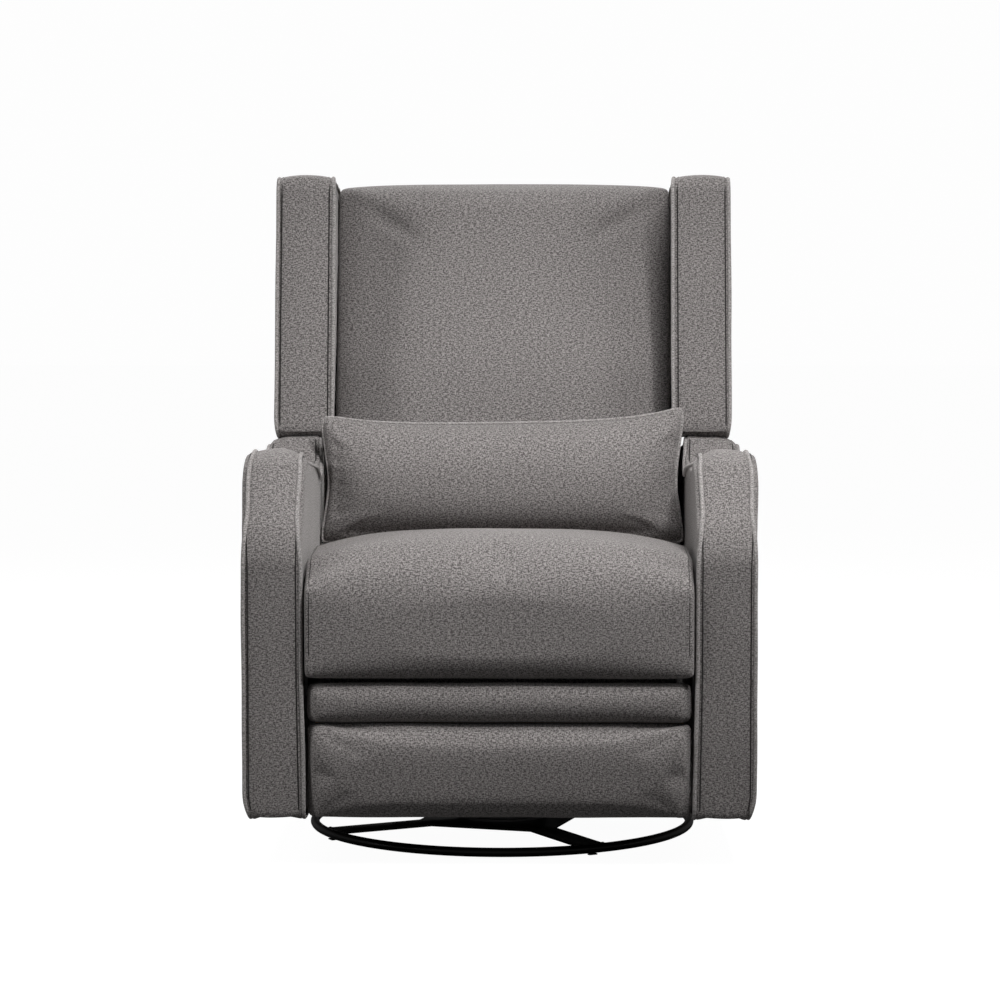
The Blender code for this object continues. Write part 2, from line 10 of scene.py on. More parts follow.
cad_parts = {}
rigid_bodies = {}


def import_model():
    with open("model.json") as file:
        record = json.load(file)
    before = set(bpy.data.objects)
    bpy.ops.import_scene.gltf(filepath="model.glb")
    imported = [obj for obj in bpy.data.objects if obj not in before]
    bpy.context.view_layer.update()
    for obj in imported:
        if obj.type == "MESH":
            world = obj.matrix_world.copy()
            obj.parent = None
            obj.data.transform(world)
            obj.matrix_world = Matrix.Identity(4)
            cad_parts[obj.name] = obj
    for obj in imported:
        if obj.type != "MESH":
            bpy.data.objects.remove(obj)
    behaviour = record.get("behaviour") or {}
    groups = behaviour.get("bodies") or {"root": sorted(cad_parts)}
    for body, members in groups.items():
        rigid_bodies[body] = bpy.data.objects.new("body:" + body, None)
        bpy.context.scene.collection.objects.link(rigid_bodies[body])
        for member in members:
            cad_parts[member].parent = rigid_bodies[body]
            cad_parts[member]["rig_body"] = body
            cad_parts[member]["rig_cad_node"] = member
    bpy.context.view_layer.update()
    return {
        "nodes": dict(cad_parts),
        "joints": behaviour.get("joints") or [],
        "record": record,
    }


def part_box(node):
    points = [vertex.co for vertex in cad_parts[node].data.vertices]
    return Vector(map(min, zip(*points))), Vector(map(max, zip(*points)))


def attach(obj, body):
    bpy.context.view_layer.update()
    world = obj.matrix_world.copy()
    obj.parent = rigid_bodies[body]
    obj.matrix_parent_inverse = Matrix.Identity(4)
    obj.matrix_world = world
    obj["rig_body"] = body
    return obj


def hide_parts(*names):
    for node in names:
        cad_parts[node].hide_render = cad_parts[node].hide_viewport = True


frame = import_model()
swivelY = next(joint["pos_m"][1] for joint in frame["joints"] if joint["name"] == "swivel")
print("frame loaded:", len(frame["nodes"]), "nodes, swivel axis at y", round(swivelY, 4))


def deselectAll():
    if bpy.context.mode != "OBJECT":
        bpy.ops.object.mode_set(mode="OBJECT")
    bpy.ops.object.select_all(action="DESELECT")


def makeActive(piece):
    deselectAll()
    piece.select_set(True)
    bpy.context.view_layer.objects.active = piece


def pointsOf(piece):
    points = np.empty(len(piece.data.vertices) * 3)
    piece.data.vertices.foreach_get("co", points)
    return points.reshape(-1, 3)


def setPoints(piece, points):
    piece.data.vertices.foreach_set("co", np.ascontiguousarray(points, dtype=np.float32).ravel())
    piece.data.update()


def applyModifier(piece, kind, **values):
    makeActive(piece)
    modifier = piece.modifiers.new(kind, kind)
    for name, value in values.items():
        setattr(modifier, name, value)
    bpy.ops.object.modifier_apply(modifier=modifier.name)


def nameLast(name):
    piece = bpy.context.active_object
    piece.name = name
    piece.data.name = name
    return piece


def copyNode(node, name):
    # a merged copy of a CAD node's mesh, to be shaped further
    makeActive(frame["nodes"][node])
    bpy.ops.object.duplicate()
    piece = nameLast(name)
    piece.parent = None
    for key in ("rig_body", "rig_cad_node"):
        del piece[key]
    piece.data.materials.clear()
    bpy.ops.object.mode_set(mode="EDIT")
    bpy.ops.mesh.select_all(action="SELECT")
    bpy.ops.mesh.customdata_custom_splitnormals_clear()
    bpy.ops.mesh.remove_doubles(threshold=0.00002)
    bpy.ops.mesh.normals_make_consistent(inside=False)
    bpy.ops.object.mode_set(mode="OBJECT")
    return piece


def selectPoints(piece, chosen):
    # leaves the piece in edit mode with just these points selected
    makeActive(piece)
    bpy.ops.object.mode_set(mode="EDIT")
    bpy.ops.mesh.select_mode(type="VERT")
    bpy.ops.mesh.select_all(action="DESELECT")
    bpy.ops.object.mode_set(mode="OBJECT")
    piece.data.vertices.foreach_set("select", np.asarray(chosen, bool))
    bpy.ops.object.mode_set(mode="EDIT")


def finishPiece(piece, body, material, nodes=(), angle=50):
    makeActive(piece)
    bpy.ops.object.transform_apply(location=True, rotation=True, scale=True)
    piece.data.materials.clear()
    piece.data.materials.append(material)
    bpy.ops.object.shade_smooth_by_angle(angle=math.radians(angle), keep_sharp_edges=False)
    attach(piece, body)
    if nodes:
        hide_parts(*nodes)
    return piece


def roundedOutline(corners, steps=8):
    # corners are (across, up, radius); the outline runs round them as fine arcs
    points = []
    for index, (across, up, radius) in enumerate(corners):
        here = Vector((across, up))
        back = (Vector(corners[index - 1][:2]) - here).normalized()
        ahead = (Vector(corners[(index + 1) % len(corners)][:2]) - here).normalized()
        half = back.angle(ahead) / 2
        center = here + (back + ahead).normalized() * (radius / math.sin(half))
        first = here + back * (radius / math.tan(half)) - center
        last = here + ahead * (radius / math.tan(half)) - center
        start = math.atan2(first.y, first.x)
        sweep = (math.atan2(last.y, last.x) - start + math.pi) % (2 * math.pi) - math.pi
        for step in range(steps + 1):
            turn = start + sweep * step / steps
            points.append((center.x + radius * math.cos(turn), center.y + radius * math.sin(turn)))
    return np.array(points)


def evenly(points, spacing):
    # the same closed path with points a fixed distance apart
    closed = np.vstack([points, points[:1]])
    runs = np.linalg.norm(np.diff(closed, axis=0), axis=1)
    along = np.concatenate([[0], np.cumsum(runs)])
    count = max(8, round(along[-1] / spacing))
    marks = np.linspace(0, along[-1], count, endpoint=False)
    return np.column_stack([np.interp(marks, along, closed[:, axis]) for axis in range(closed.shape[1])])


def outwardNormals(points):
    # unit normals of a closed 2D path that runs anticlockwise
    ahead = np.roll(points, -1, axis=0) - np.roll(points, 1, axis=0)
    ahead /= np.linalg.norm(ahead, axis=1)[:, None]
    return np.column_stack([ahead[:, 1], -ahead[:, 0]])


def nearestOn(path, points):
    # index of the nearest path point and the distance to it, for each point
    nearest = np.empty(len(points), int)
    distance = np.empty(len(points))
    for start in range(0, len(points), 8000):
        block = points[start:start + 8000]
        gaps = np.linalg.norm(block[:, None] - path[None], axis=2)
        nearest[start:start + 8000] = gaps.argmin(axis=1)
        distance[start:start + 8000] = gaps.min(axis=1)
    return nearest, distance


noise.seed_set(7)  # without this the vector noise starts from the clock, and no two runs agree


def rippled(points, height, size, seed):
    # gentle unevenness of stuffed cloth: the same field moves a cover and the welts on it
    shift = Vector((seed * 3.7, seed * 1.9, seed * 5.3))
    moves = np.array([noise.noise_vector(Vector(point) / size + shift) for point in points])
    return points + moves * height


view = {"distance": 5.15, "height": 0.895, "turn": 0.66, "aimX": -0.0036, "aimZ": 0.5412, "lens": 112.5}


def addCamera():
    turn = math.radians(view["turn"])
    place = Vector((
        view["distance"] * math.sin(turn), swivelY - view["distance"] * math.cos(turn), view["height"],
    ))
    aim = Vector((view["aimX"], swivelY, view["aimZ"]))
    bpy.ops.object.camera_add(location=place, rotation=(aim - place).to_track_quat("-Z", "Y").to_euler())
    camera = bpy.context.active_object
    camera.name = "camera"
    camera.data.lens = view["lens"]
    camera.data.clip_end = 60
    bpy.context.scene.camera = camera
    print("camera placed")


lamps = {
    "key": {"place": (0.85, -1.9, 2.6), "aim": (0, 0, 0.6), "size": (0.6, 0.6), "power": 9},
    "high": {"place": (0.5, -1.1, 3.0), "aim": (0, 0, 0.6), "size": (0.7, 0.7), "power": 42},
    "right": {"place": (2.4, -1.0, 1.5), "aim": (0, 0, 0.6), "size": (0.9, 1.4), "power": 18},
    "left": {"place": (-2.4, -1.2, 1.4), "aim": (0, 0, 0.6), "size": (0.9, 1.4), "power": 26},
    "behind": {"place": (-0.8, 2.4, 3.2), "aim": (0, 0, 0.5), "size": (1.4, 1.4), "power": 70},
    # a soft-edged pool of light on the middle of the chair
    "pool": {"place": (0.95, -1.7, 2.5), "aim": (0, -0.2, 0.60), "cone": 36, "radius": 0.12, "power": 160},
}


def addLamps():
    for name, lamp in lamps.items():
        place = Vector(lamp["place"])
        turn = (Vector(lamp["aim"]) - place).to_track_quat("-Z", "Y").to_euler()
        kind = "SPOT" if "cone" in lamp else "AREA"
        bpy.ops.object.light_add(type=kind, location=place, rotation=turn)
        light = bpy.context.active_object
        light.name = name
        light.data.energy = lamp["power"]
        if kind == "SPOT":
            light.data.spot_size = math.radians(lamp["cone"])
            light.data.spot_blend = 1.0
            light.data.shadow_soft_size = lamp["radius"]
        else:
            light.data.shape = "RECTANGLE"
            light.data.size, light.data.size_y = lamp["size"]
    world = bpy.data.worlds.new("studio")
    bpy.context.scene.world = world
    world.use_nodes = True
    # the paper behind looks white, and adds only a little light of its own
    ray = addNode(world.node_tree, "LightPath")
    strength = blendValue(world.node_tree, ray.outputs["Is Camera Ray"], 0.08, 0.985)
    backdrop = world.node_tree.nodes["Background"]
    backdrop.inputs["Color"].default_value = (1, 1, 1, 1)
    world.node_tree.links.new(strength, backdrop.inputs["Strength"])
    bpy.context.scene.view_settings.view_transform = "Standard"
    print("lamps placed")


def newGroup(name, sockets, results):
    group = bpy.data.node_groups.new(name, "ShaderNodeTree")
    for label, kind, value in sockets:
        socket = group.interface.new_socket(label, in_out="INPUT", socket_type="NodeSocket" + kind)
        socket.default_value = value
    for label, kind in results:
        group.interface.new_socket(label, in_out="OUTPUT", socket_type="NodeSocket" + kind)
    return group, group.nodes.new("NodeGroupInput"), group.nodes.new("NodeGroupOutput")


def addNode(tree, kind, **inputs):
    # a node whose inputs are set by name or number, from a socket or a value
    settings = inputs.pop("settings", {})
    made = tree.nodes.new("ShaderNode" + kind)
    for name, value in settings.items():
        setattr(made, name, value)
    for name, value in inputs.items():
        socket = made.inputs[int(name[1:])] if name[0] == "n" and name[1:].isdigit() else made.inputs[name]
        if isinstance(value, bpy.types.NodeSocket):
            tree.links.new(value, socket)
        else:
            socket.default_value = value
    return made


def maths(tree, operation, *values):
    inputs = {f"n{index}": value for index, value in enumerate(values)}
    return addNode(tree, "Math", settings={"operation": operation}, **inputs).outputs[0]


def blendValue(tree, share, low, high):
    return addNode(tree, "Mix", n0=share, n2=low, n3=high).outputs[0]


def blendColour(tree, share, low, high, mode="MIX"):
    settings = {"data_type": "RGBA", "blend_type": mode}
    return addNode(tree, "Mix", settings=settings, n0=share, n6=low, n7=high).outputs[2]


def noiseAt(tree, vector, scale, detail=2.0, roughness=0.5):
    made = addNode(tree, "TexNoise", Vector=vector, Scale=scale, Detail=detail, Roughness=roughness)
    return made.outputs[0]


def makeWeave():
    # heathered plain weave laid flat on whichever way the surface faces
    group, given, out = newGroup(
        "heatherWeave",
        [
            ("Dark", "Color", (0.05, 0.045, 0.043, 1)),
            ("Light", "Color", (0.3, 0.28, 0.27, 1)),
            ("Thread", "Float", 0.0024),
            ("Contrast", "Float", 1.0),
        ],
        [("Color", "Color"), ("Height", "Float")],
    )
    place = addNode(group, "TexCoord")
    x, y, z = addNode(group, "SeparateXYZ", Vector=place.outputs["Object"]).outputs
    facing = addNode(group, "VectorMath", settings={"operation": "ABSOLUTE"}, n0=place.outputs["Normal"])
    nx, ny, nz = addNode(group, "SeparateXYZ", Vector=facing.outputs[0]).outputs
    side = maths(group, "MULTIPLY", maths(group, "GREATER_THAN", nx, ny), maths(group, "GREATER_THAN", nx, nz))
    top = maths(group, "MULTIPLY", maths(group, "GREATER_THAN", nz, ny), maths(group, "GREATER_THAN", nz, nx))
    across = blendValue(group, side, x, y)
    up = blendValue(group, top, z, y)
    # yarns drift a little, so rows are never ruler-straight
    drift = noiseAt(group, place.outputs["Object"], 38.0, 1.0)
    drift = maths(group, "MULTIPLY", maths(group, "SUBTRACT", drift, 0.5), 0.0022)
    across = maths(group, "ADD", across, drift)
    up = maths(group, "SUBTRACT", up, drift)
    level = maths(group, "ADD", maths(group, "MULTIPLY", side, 5.0), maths(group, "MULTIPLY", top, 11.0))

    def flecks(wide, tall):
        vector = addNode(
            group, "CombineXYZ", X=maths(group, "MULTIPLY", across, wide), Y=maths(group, "MULTIPLY", up, tall), Z=level,
        )
        return noiseAt(group, vector.outputs[0], 1.0, 2.0, 0.6)

    weft = flecks(190.0, 700.0)
    warp = flecks(700.0, 240.0)
    grain = flecks(460.0, 460.0)
    turns = maths(group, "DIVIDE", 2 * math.pi, given.outputs["Thread"])
    overUnder = maths(
        group, "MULTIPLY",
        maths(group, "SINE", maths(group, "MULTIPLY", across, turns)),
        maths(group, "SINE", maths(group, "MULTIPLY", up, turns)),
    )
    yarn = maths(group, "ADD", maths(group, "MULTIPLY", weft, 0.42), maths(group, "MULTIPLY", warp, 0.28))
    yarn = maths(group, "ADD", yarn, maths(group, "MULTIPLY", grain, 0.30))
    yarn = maths(group, "SUBTRACT", yarn, 0.5)
    broad = maths(group, "SUBTRACT", noiseAt(group, place.outputs["Object"], 9.0, 2.0), 0.5)
    tone = maths(group, "MULTIPLY", yarn, maths(group, "MULTIPLY", given.outputs["Contrast"], 9.0))
    tone = maths(group, "ADD", tone, maths(group, "MULTIPLY", overUnder, 0.07))
    tone = maths(group, "ADD", tone, maths(group, "MULTIPLY", broad, 0.10))
    share = addNode(group, "Clamp", Value=maths(group, "ADD", tone, 0.45)).outputs[0]
    colour = blendColour(group, share, given.outputs["Dark"], given.outputs["Light"])
    height = maths(group, "ADD", maths(group, "MULTIPLY", overUnder, 0.35), yarn)
    group.links.new(colour, out.inputs["Color"])
    group.links.new(height, out.inputs["Height"])
    return group


def newMaterial(name, **inputs):
    material = bpy.data.materials.new(name)
    material.use_nodes = True
    shader = material.node_tree.nodes["Principled BSDF"]
    for label, value in inputs.items():
        shader.inputs[label.replace("_", " ")].default_value = value
    return material, material.node_tree, shader


def addBump(tree, shader, height, strength, distance):
    bump = addNode(tree, "Bump", Strength=strength, Distance=distance, Height=height)
    tree.links.new(bump.outputs[0], shader.inputs["Normal"])


def makeCloth(name, group, dark, light, contrast=1.0, bump=0.35):
    material, tree, shader = newMaterial(
        name, Roughness=0.92, Sheen_Weight=0.25, Sheen_Roughness=0.45, Sheen_Tint=(0.9, 0.87, 0.85, 1),
    )
    shader.inputs["Specular IOR Level"].default_value = 0.25
    weave = tree.nodes.new("ShaderNodeGroup")
    weave.node_tree = group
    weave.inputs["Dark"].default_value = (*dark, 1)
    weave.inputs["Light"].default_value = (*light, 1)
    weave.inputs["Contrast"].default_value = contrast
    tree.links.new(weave.outputs["Color"], shader.inputs["Base Color"])
    addBump(tree, shader, weave.outputs["Height"], bump, 0.0006)
    return material


def makePaint(name, colour, rough, texture=420.0):
    # powder coat: fine orange peel, dust-grey in random patches
    material, tree, shader = newMaterial(name, Roughness=rough, Coat_Weight=0.0)
    place = addNode(tree, "TexCoord").outputs["Object"]
    patches = noiseAt(tree, place, 14.0, 3.0)
    peel = noiseAt(tree, place, texture, 2.0)
    lighter = tuple(value * 1.8 + 0.002 for value in colour)
    tree.links.new(blendColour(tree, patches, (*colour, 1), (*lighter, 1)), shader.inputs["Base Color"])
    tree.links.new(blendValue(tree, patches, rough - 0.06, rough + 0.08), shader.inputs["Roughness"])
    addBump(tree, shader, peel, 0.12, 0.0004)
    return material


def makeSteel(name, colour, rough):
    material, tree, shader = newMaterial(name, Metallic=1.0)
    place = addNode(tree, "TexCoord").outputs["Object"]
    brushed = addNode(tree, "Mapping", Vector=place)
    brushed.inputs["Scale"].default_value = (60, 60, 1400)
    lines = noiseAt(tree, brushed.outputs[0], 1.0, 3.0)
    stains = noiseAt(tree, place, 22.0, 4.0)
    duller = tuple(value * 0.6 for value in colour)
    tree.links.new(blendColour(tree, stains, (*duller, 1), (*colour, 1)), shader.inputs["Base Color"])
    tree.links.new(blendValue(tree, lines, rough - 0.1, rough + 0.15), shader.inputs["Roughness"])
    addBump(tree, shader, lines, 0.1, 0.0002)
    return material


def makeTimber(name):
    # plywood: long figure on the face, thin plies on the cut edge
    material, tree, shader = newMaterial(name, Roughness=0.7)
    place = addNode(tree, "TexCoord").outputs["Object"]
    figure = addNode(tree, "Mapping", Vector=place)
    figure.inputs["Scale"].default_value = (3, 3, 40)
    rings = addNode(
        tree, "TexWave", settings={"wave_type": "BANDS", "bands_direction": "Z"},
        Vector=figure.outputs[0], Scale=1.2, Distortion=6.0, Detail=3.0,
    ).outputs[1]
    pores = addNode(tree, "Mapping", Vector=place)
    pores.inputs["Scale"].default_value = (90, 90, 1200)
    pits = noiseAt(tree, pores.outputs[0], 1.0, 2.0)
    tone = blendColour(tree, rings, (0.52, 0.35, 0.19, 1), (0.36, 0.22, 0.11, 1))
    tone = blendColour(tree, maths(tree, "MULTIPLY", pits, 0.5), tone, (0.24, 0.14, 0.07, 1))
    tree.links.new(tone, shader.inputs["Base Color"])
    tree.links.new(blendValue(tree, pits, 0.6, 0.85), shader.inputs["Roughness"])
    addBump(tree, shader, pits, 0.2, 0.0004)
    return material


def makeNylon(name):
    material, tree, shader = newMaterial(name, Roughness=0.5)
    place = addNode(tree, "TexCoord").outputs["Object"]
    scuffs = noiseAt(tree, place, 160.0, 4.0)
    tree.links.new(blendColour(tree, scuffs, (0.012, 0.012, 0.012, 1), (0.05, 0.05, 0.05, 1)), shader.inputs["Base Color"])
    tree.links.new(blendValue(tree, scuffs, 0.35, 0.7), shader.inputs["Roughness"])
    addBump(tree, shader, scuffs, 0.15, 0.0003)
    return material


def makeWebbing(name):
    # ribbed woven tape
    material, tree, shader = newMaterial(name, Roughness=0.85)
    place = addNode(tree, "TexCoord").outputs["Object"]
    ribs = addNode(
        tree, "TexWave", settings={"wave_type": "BANDS", "bands_direction": "Z"}, Vector=place, Scale=160.0,
    ).outputs[1]
    fuzz = noiseAt(tree, place, 700.0, 2.0)
    tone = blendColour(tree, ribs, (0.012, 0.012, 0.013, 1), (0.06, 0.058, 0.056, 1))
    tree.links.new(blendColour(tree, maths(tree, "MULTIPLY", fuzz, 0.5), tone, (0.09, 0.088, 0.085, 1)), shader.inputs["Base Color"])
    tree.links.new(blendValue(tree, fuzz, 0.75, 0.95), shader.inputs["Roughness"])
    addBump(tree, shader, ribs, 0.5, 0.0006)
    return material


weave = makeWeave()
cloth = makeCloth("heatherCloth", weave, (0.070, 0.064, 0.062), (0.300, 0.280, 0.274))
# the welts are the same cloth as the covers, made lighter: a painted highlight on the cords
weltHighlightCloth = makeCloth("weltHighlightCloth", weave, (0.135, 0.126, 0.122), (0.420, 0.398, 0.390), 0.7, 0.25)
# near-black cloth for the thin tubes laid in the seam ditches: painted shade
seamShadeLine = makeCloth("seamShadow", weave, (0.006, 0.0055, 0.005), (0.02, 0.018, 0.017), 0.6, 0.2)
blackPaint = makePaint("blackPowderCoat", (0.0035, 0.0035, 0.0037), 0.30)
steel = makeSteel("zincSteel", (0.34, 0.34, 0.35), 0.42)
timber = makeTimber("plywood")
nylon = makeNylon("blackNylon")
webbing = makeWebbing("pullTape")
print("materials made")


def dressNodes():
    # every CAD node that stays gets the finish of its slot
    finishes = {
        "painted_steel": blackPaint, "bare_steel": steel, "nylon": nylon, "timber": timber,
        "upholstery": cloth, "webbing": webbing,
    }
    for part in frame["record"]["subparts"]:
        node = frame["nodes"][part["node"]]
        node.data.materials.clear()
        node.data.materials.append(finishes[part["material_slot"]])


ringBase = {"segments": 192, "sides": 20, "spokeTurn": 28, "weld": 0.0035, "edge": 0.0008, "pad": 0.6}


def makeBase():
    low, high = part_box("base_ring")
    tube = (high.z - low.z) / 2
    radius = (high.x - low.x) / 2 - tube
    deselectAll()
    bpy.ops.mesh.primitive_torus_add(
        location=(0, swivelY, (low.z + high.z) / 2), major_radius=radius, minor_radius=tube,
        major_segments=ringBase["segments"], minor_segments=ringBase["sides"],
    )
    ring = nameLast("ring_tube")
    # weld beads where the four spokes meet the tube
    plateLow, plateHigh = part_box("base_cross")
    beads = []
    for quarter in range(4):
        turn = math.radians(ringBase["spokeTurn"] + 90 * quarter)
        for side in (-1, 1):
            aside = turn + side * math.asin(0.0225 / radius)
            reach = radius - tube * 0.9
            for step in range(3):
                swing = aside - side * step * 0.012
                deselectAll()
                bpy.ops.mesh.primitive_uv_sphere_add(
                    segments=12, ring_count=8, radius=ringBase["weld"],
                    location=(reach * math.cos(swing), swivelY + reach * math.sin(swing), plateHigh.z - 0.001),
                )
                bead = bpy.context.active_object
                bpy.ops.transform.resize(value=(1.0, 1.0, 0.6))
                beads.append(bead)
    deselectAll()
    for bead in beads:
        bead.select_set(True)
    ring.select_set(True)
    bpy.context.view_layer.objects.active = ring
    bpy.ops.object.join()
    finishPiece(ring, "base", blackPaint, ["base_ring"], 60)
    cross = copyNode("base_cross", "spoke_cross")
    applyModifier(cross, "BEVEL", width=ringBase["edge"], segments=2, limit_method="ANGLE")
    finishPiece(cross, "base", blackPaint, ["base_cross"], 35)
    for quarter in range(1, 5):
        # small nylon pads tucked under the tube, narrower than their sockets
        node = f"floor_glide_{quarter}"
        pad = copyNode(node, f"floor_pad_{quarter}")
        low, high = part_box(node)
        middle = (low + high) / 2
        points = (pointsOf(pad) - np.array(middle)) * np.array([ringBase["pad"], ringBase["pad"], 1]) + np.array(middle)
        setPoints(pad, points)
        applyModifier(pad, "BEVEL", width=0.0005, segments=2, limit_method="ANGLE")
        finishPiece(pad, "base", nylon, [node], 35)
    print("base made")


lean = math.radians(10.2)


def remeshPiece(piece, voxel, smooth=6):
    applyModifier(piece, "REMESH", mode="VOXEL", voxel_size=voxel, adaptivity=0)
    applyModifier(piece, "SMOOTH", factor=0.5, iterations=smooth)


def leanFrame(front, bottom):
    # turns points to and from the plane of the leaning back
    turn = np.array([[math.cos(lean), math.sin(lean)], [-math.sin(lean), math.cos(lean)]])

    def flat(points):
        return (points[:, 1:] - np.array([front + swivelY, bottom])) @ turn

    def leant(x, sheet):
        return np.column_stack([x, sheet @ turn.T + np.array([front + swivelY, bottom])])

    return flat, leant


def upright():
    def flat(points):
        return points[:, 1:] - np.array([swivelY, 0.0])

    def placed(x, sheet):
        return np.column_stack([x, sheet + np.array([swivelY, 0.0])])

    return flat, placed


def crownSlab(piece, outline, planes, band, inner, outer, depth=0.02, spread=0.05):
    # swells a slab: band gives the lift of the middle and of the edges of its narrow side,
    # inner and outer the fullness of its two big faces
    flat, placed = planes
    points = pointsOf(piece)
    sheet = flat(points)
    path = evenly(outline, 0.004)
    normals = outwardNormals(path)
    nearest, distance = nearestOn(path, sheet)
    side = 1 if points[:, 0].mean() > 0 else -1
    reach = np.abs(points[:, 0])
    share = np.clip((reach * 2 - reach.min() - reach.max()) / np.ptp(reach), -1, 1)
    lifts = np.array([band(*place, *normal) for place, normal in zip(path, normals)])
    lift = lifts[nearest, 0] * (1 - share ** 2) + lifts[nearest, 1] * share ** 2
    sheet = sheet + normals[nearest] * (lift * np.exp(-distance / depth))[:, None]
    swell = 1 - np.exp(-(distance / spread) ** 1.5)
    push = np.where(share > 0, outer * swell * share ** 8, -inner * swell * share ** 8)
    setPoints(piece, placed(points[:, 0] + side * push, sheet))


def evened(points, rounds=4, closed=True):
    # takes the jitter out of a path read off a surface
    for _ in range(rounds):
        before, after = np.roll(points, 1, axis=0), np.roll(points, -1, axis=0)
        if not closed:
            before[0], after[-1] = points[0], points[-1]
        points = points * 0.5 + (before + after) * 0.25
    return points


def onSurface(piece, points, outward, lift):
    # drops each point onto the piece from outside, then lifts it off by a little
    found = []
    for point, way in zip(points, outward):
        way = Vector(way).normalized()
        hit, place, _, _ = piece.ray_cast(Vector(point) + way * 0.03, -way)
        found.append((place if hit else Vector(point)) + way * lift)
    return np.array(found)


def makeTube(name, points, radius, material, body, closed=True, sides=3):
    curve = bpy.data.curves.new(name, "CURVE")
    curve.dimensions = "3D"
    curve.bevel_depth = radius
    curve.bevel_resolution = sides
    curve.use_fill_caps = not closed
    spline = curve.splines.new("POLY")
    spline.points.add(len(points) - 1)
    spline.points.foreach_set("co", np.column_stack([points, np.ones(len(points))]).ravel())
    spline.use_cyclic_u = closed
    tube = bpy.data.objects.new(name, curve)
    bpy.context.collection.objects.link(tube)
    makeActive(tube)
    bpy.ops.object.convert(target="MESH")
    return finishPiece(bpy.context.active_object, body, material, angle=70)


# the thin near-black tube in each ditch beside a welt is painted shade
piping = {"radius": 0.0034, "stand": 0.0016, "inset": 0.0026, "ditch": 0.0076, "shadeRadius": 0.0012}


def edgeWelts(name, piece, outline, planes, faces, body, shaped):
    # one piping round each face of a slab, with a near-black tube of painted shade laid in the stitched ditch beside it
    # on the band
    placed = planes[1]
    path = evenly(outline, 0.006)
    normals = outwardNormals(path)
    for label, x, inward in faces:
        level = np.zeros(len(path))
        band = placed(level, normals) - placed(level, normals * 0)
        corner = band - np.array([inward, 0, 0])
        for kind, depth, way in (("welt", piping["inset"], corner), ("seam_shade", piping["ditch"], band)):
            ring = placed(np.full(len(path), x + inward * depth), path - normals * piping["inset"])
            ring = shaped(ring)
            lift = piping["stand"] if kind == "welt" else 0.0002
            ring = evened(onSurface(piece, ring, way, lift))
            if kind == "welt":
                makeTube(f"{name}_{label}_welt", ring, piping["radius"], weltHighlightCloth, body)
            else:
                makeTube(f"{name}_{label}_seam", ring, piping["shadeRadius"], seamShadeLine, body, sides=1)


arm = {
    "corners": [
        (-0.400, 0.077, 0.010), (0.345, 0.077, 0.010), (0.345, 0.553, 0.040), (0.255, 0.617, 0.050),
        (0.092, 0.630, 0.020), (0.020, 0.575, 0.040), (-0.110, 0.617, 0.100), (-0.262, 0.656, 0.085),
        (-0.400, 0.520, 0.110),
    ],
    "pocket": (0.337, 0.359), "voxel": 0.005,
    # lift of the middle and of the edges of the band, in front, at the crest, in the dip, under and behind
    "front": (0.006, 0.0), "crest": (-0.008, -0.022), "dip": (0.010, 0.033), "under": (-0.004, 0.004),
    "shoulder": (0.0145, 0.007), "depth": 0.06, "inner": 0.0004, "outer": 0.002,
    "curl": (0.115, 0.012),  # the outer face turns in below this height, by this much
    "splay": (0.470, 0.009),  # and stands out in front above this height
    "foot": (0.300, 0.004),  # the inner face fills out below this height
    "tilt": (0.520, 0.007, 0.003),  # above this height the crest drops inside and rises outside
    "square": (0.011, 0.005),  # the shoulder rises inside and drops outside
    "hollow": (0.040, 0.0065),  # the inner face hollows behind this depth, by this much
    "ripple": (0.0014, 0.11),
}


def armBand(y, z, ny, nz):
    # lift of the middle and of the edges of the band, by place round the arm
    if nz < -0.5:
        return arm["under"]
    up = max(0.0, nz)
    if y > 0.06:
        # the shoulder fills up to the wing in front of the back's hinge, and stays low behind it
        share = up * min(1.0, max(0.0, (0.17 - y) / 0.05))
        return arm["shoulder"][0] * share, arm["shoulder"][1] * share
    crest = up * min(1.0, max(0.0, (-0.06 - y) / 0.10))
    dip = up * max(0.0, 1 - abs(y - 0.010) / 0.08)
    front = 1 - up
    return tuple(
        arm["front"][side] * front + arm["crest"][side] * crest + arm["dip"][side] * dip for side in (0, 1)
    )


def armSides(points):
    # the outer face curls in at the bottom and stands out at the crest; the inner face fills out low down
    low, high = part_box("arm_cover_right")
    middle = (low.x + high.x) / 2
    reach = np.abs(points[:, 0])
    outer = np.clip((reach - middle) / (high.x - middle), 0, 1)
    inner = np.clip((middle - reach) / (middle - low.x), 0, 1)
    bottom = np.clip((arm["curl"][0] - points[:, 2]) / 0.038, 0, 1)
    top = np.clip((points[:, 2] - arm["splay"][0]) / 0.120, 0, 1)
    foot = np.clip((arm["foot"][0] - points[:, 2]) / 0.200, 0, 1)
    shaped = points.copy()
    hollow = np.clip((points[:, 1] - arm["hollow"][0]) / 0.060, 0, 1) * np.clip((0.260 - points[:, 1]) / 0.040, 0, 1)
    ahead = np.clip((-0.060 - points[:, 1]) / 0.100, 0, 1)
    move = outer * (arm["curl"][1] * bottom ** 2 - arm["splay"][1] * top * ahead)
    move += inner * (arm["foot"][1] * foot - arm["hollow"][1] * hollow)
    shaped[:, 0] -= np.sign(points[:, 0]) * move
    level, insideDrop, outsideRise = arm["tilt"]
    height = np.clip((points[:, 2] - level) / 0.100, 0, 1)
    shaped[:, 2] += height * ahead * (outsideRise * outer ** 2 - insideDrop * inner ** 2)
    shoulder = height * np.clip((points[:, 1] - 0.040) / 0.040, 0, 1) * np.clip((0.180 - points[:, 1]) / 0.040, 0, 1)
    shaped[:, 2] += shoulder * (arm["square"][0] * inner ** 2 - arm["square"][1] * outer ** 2)
    return shaped


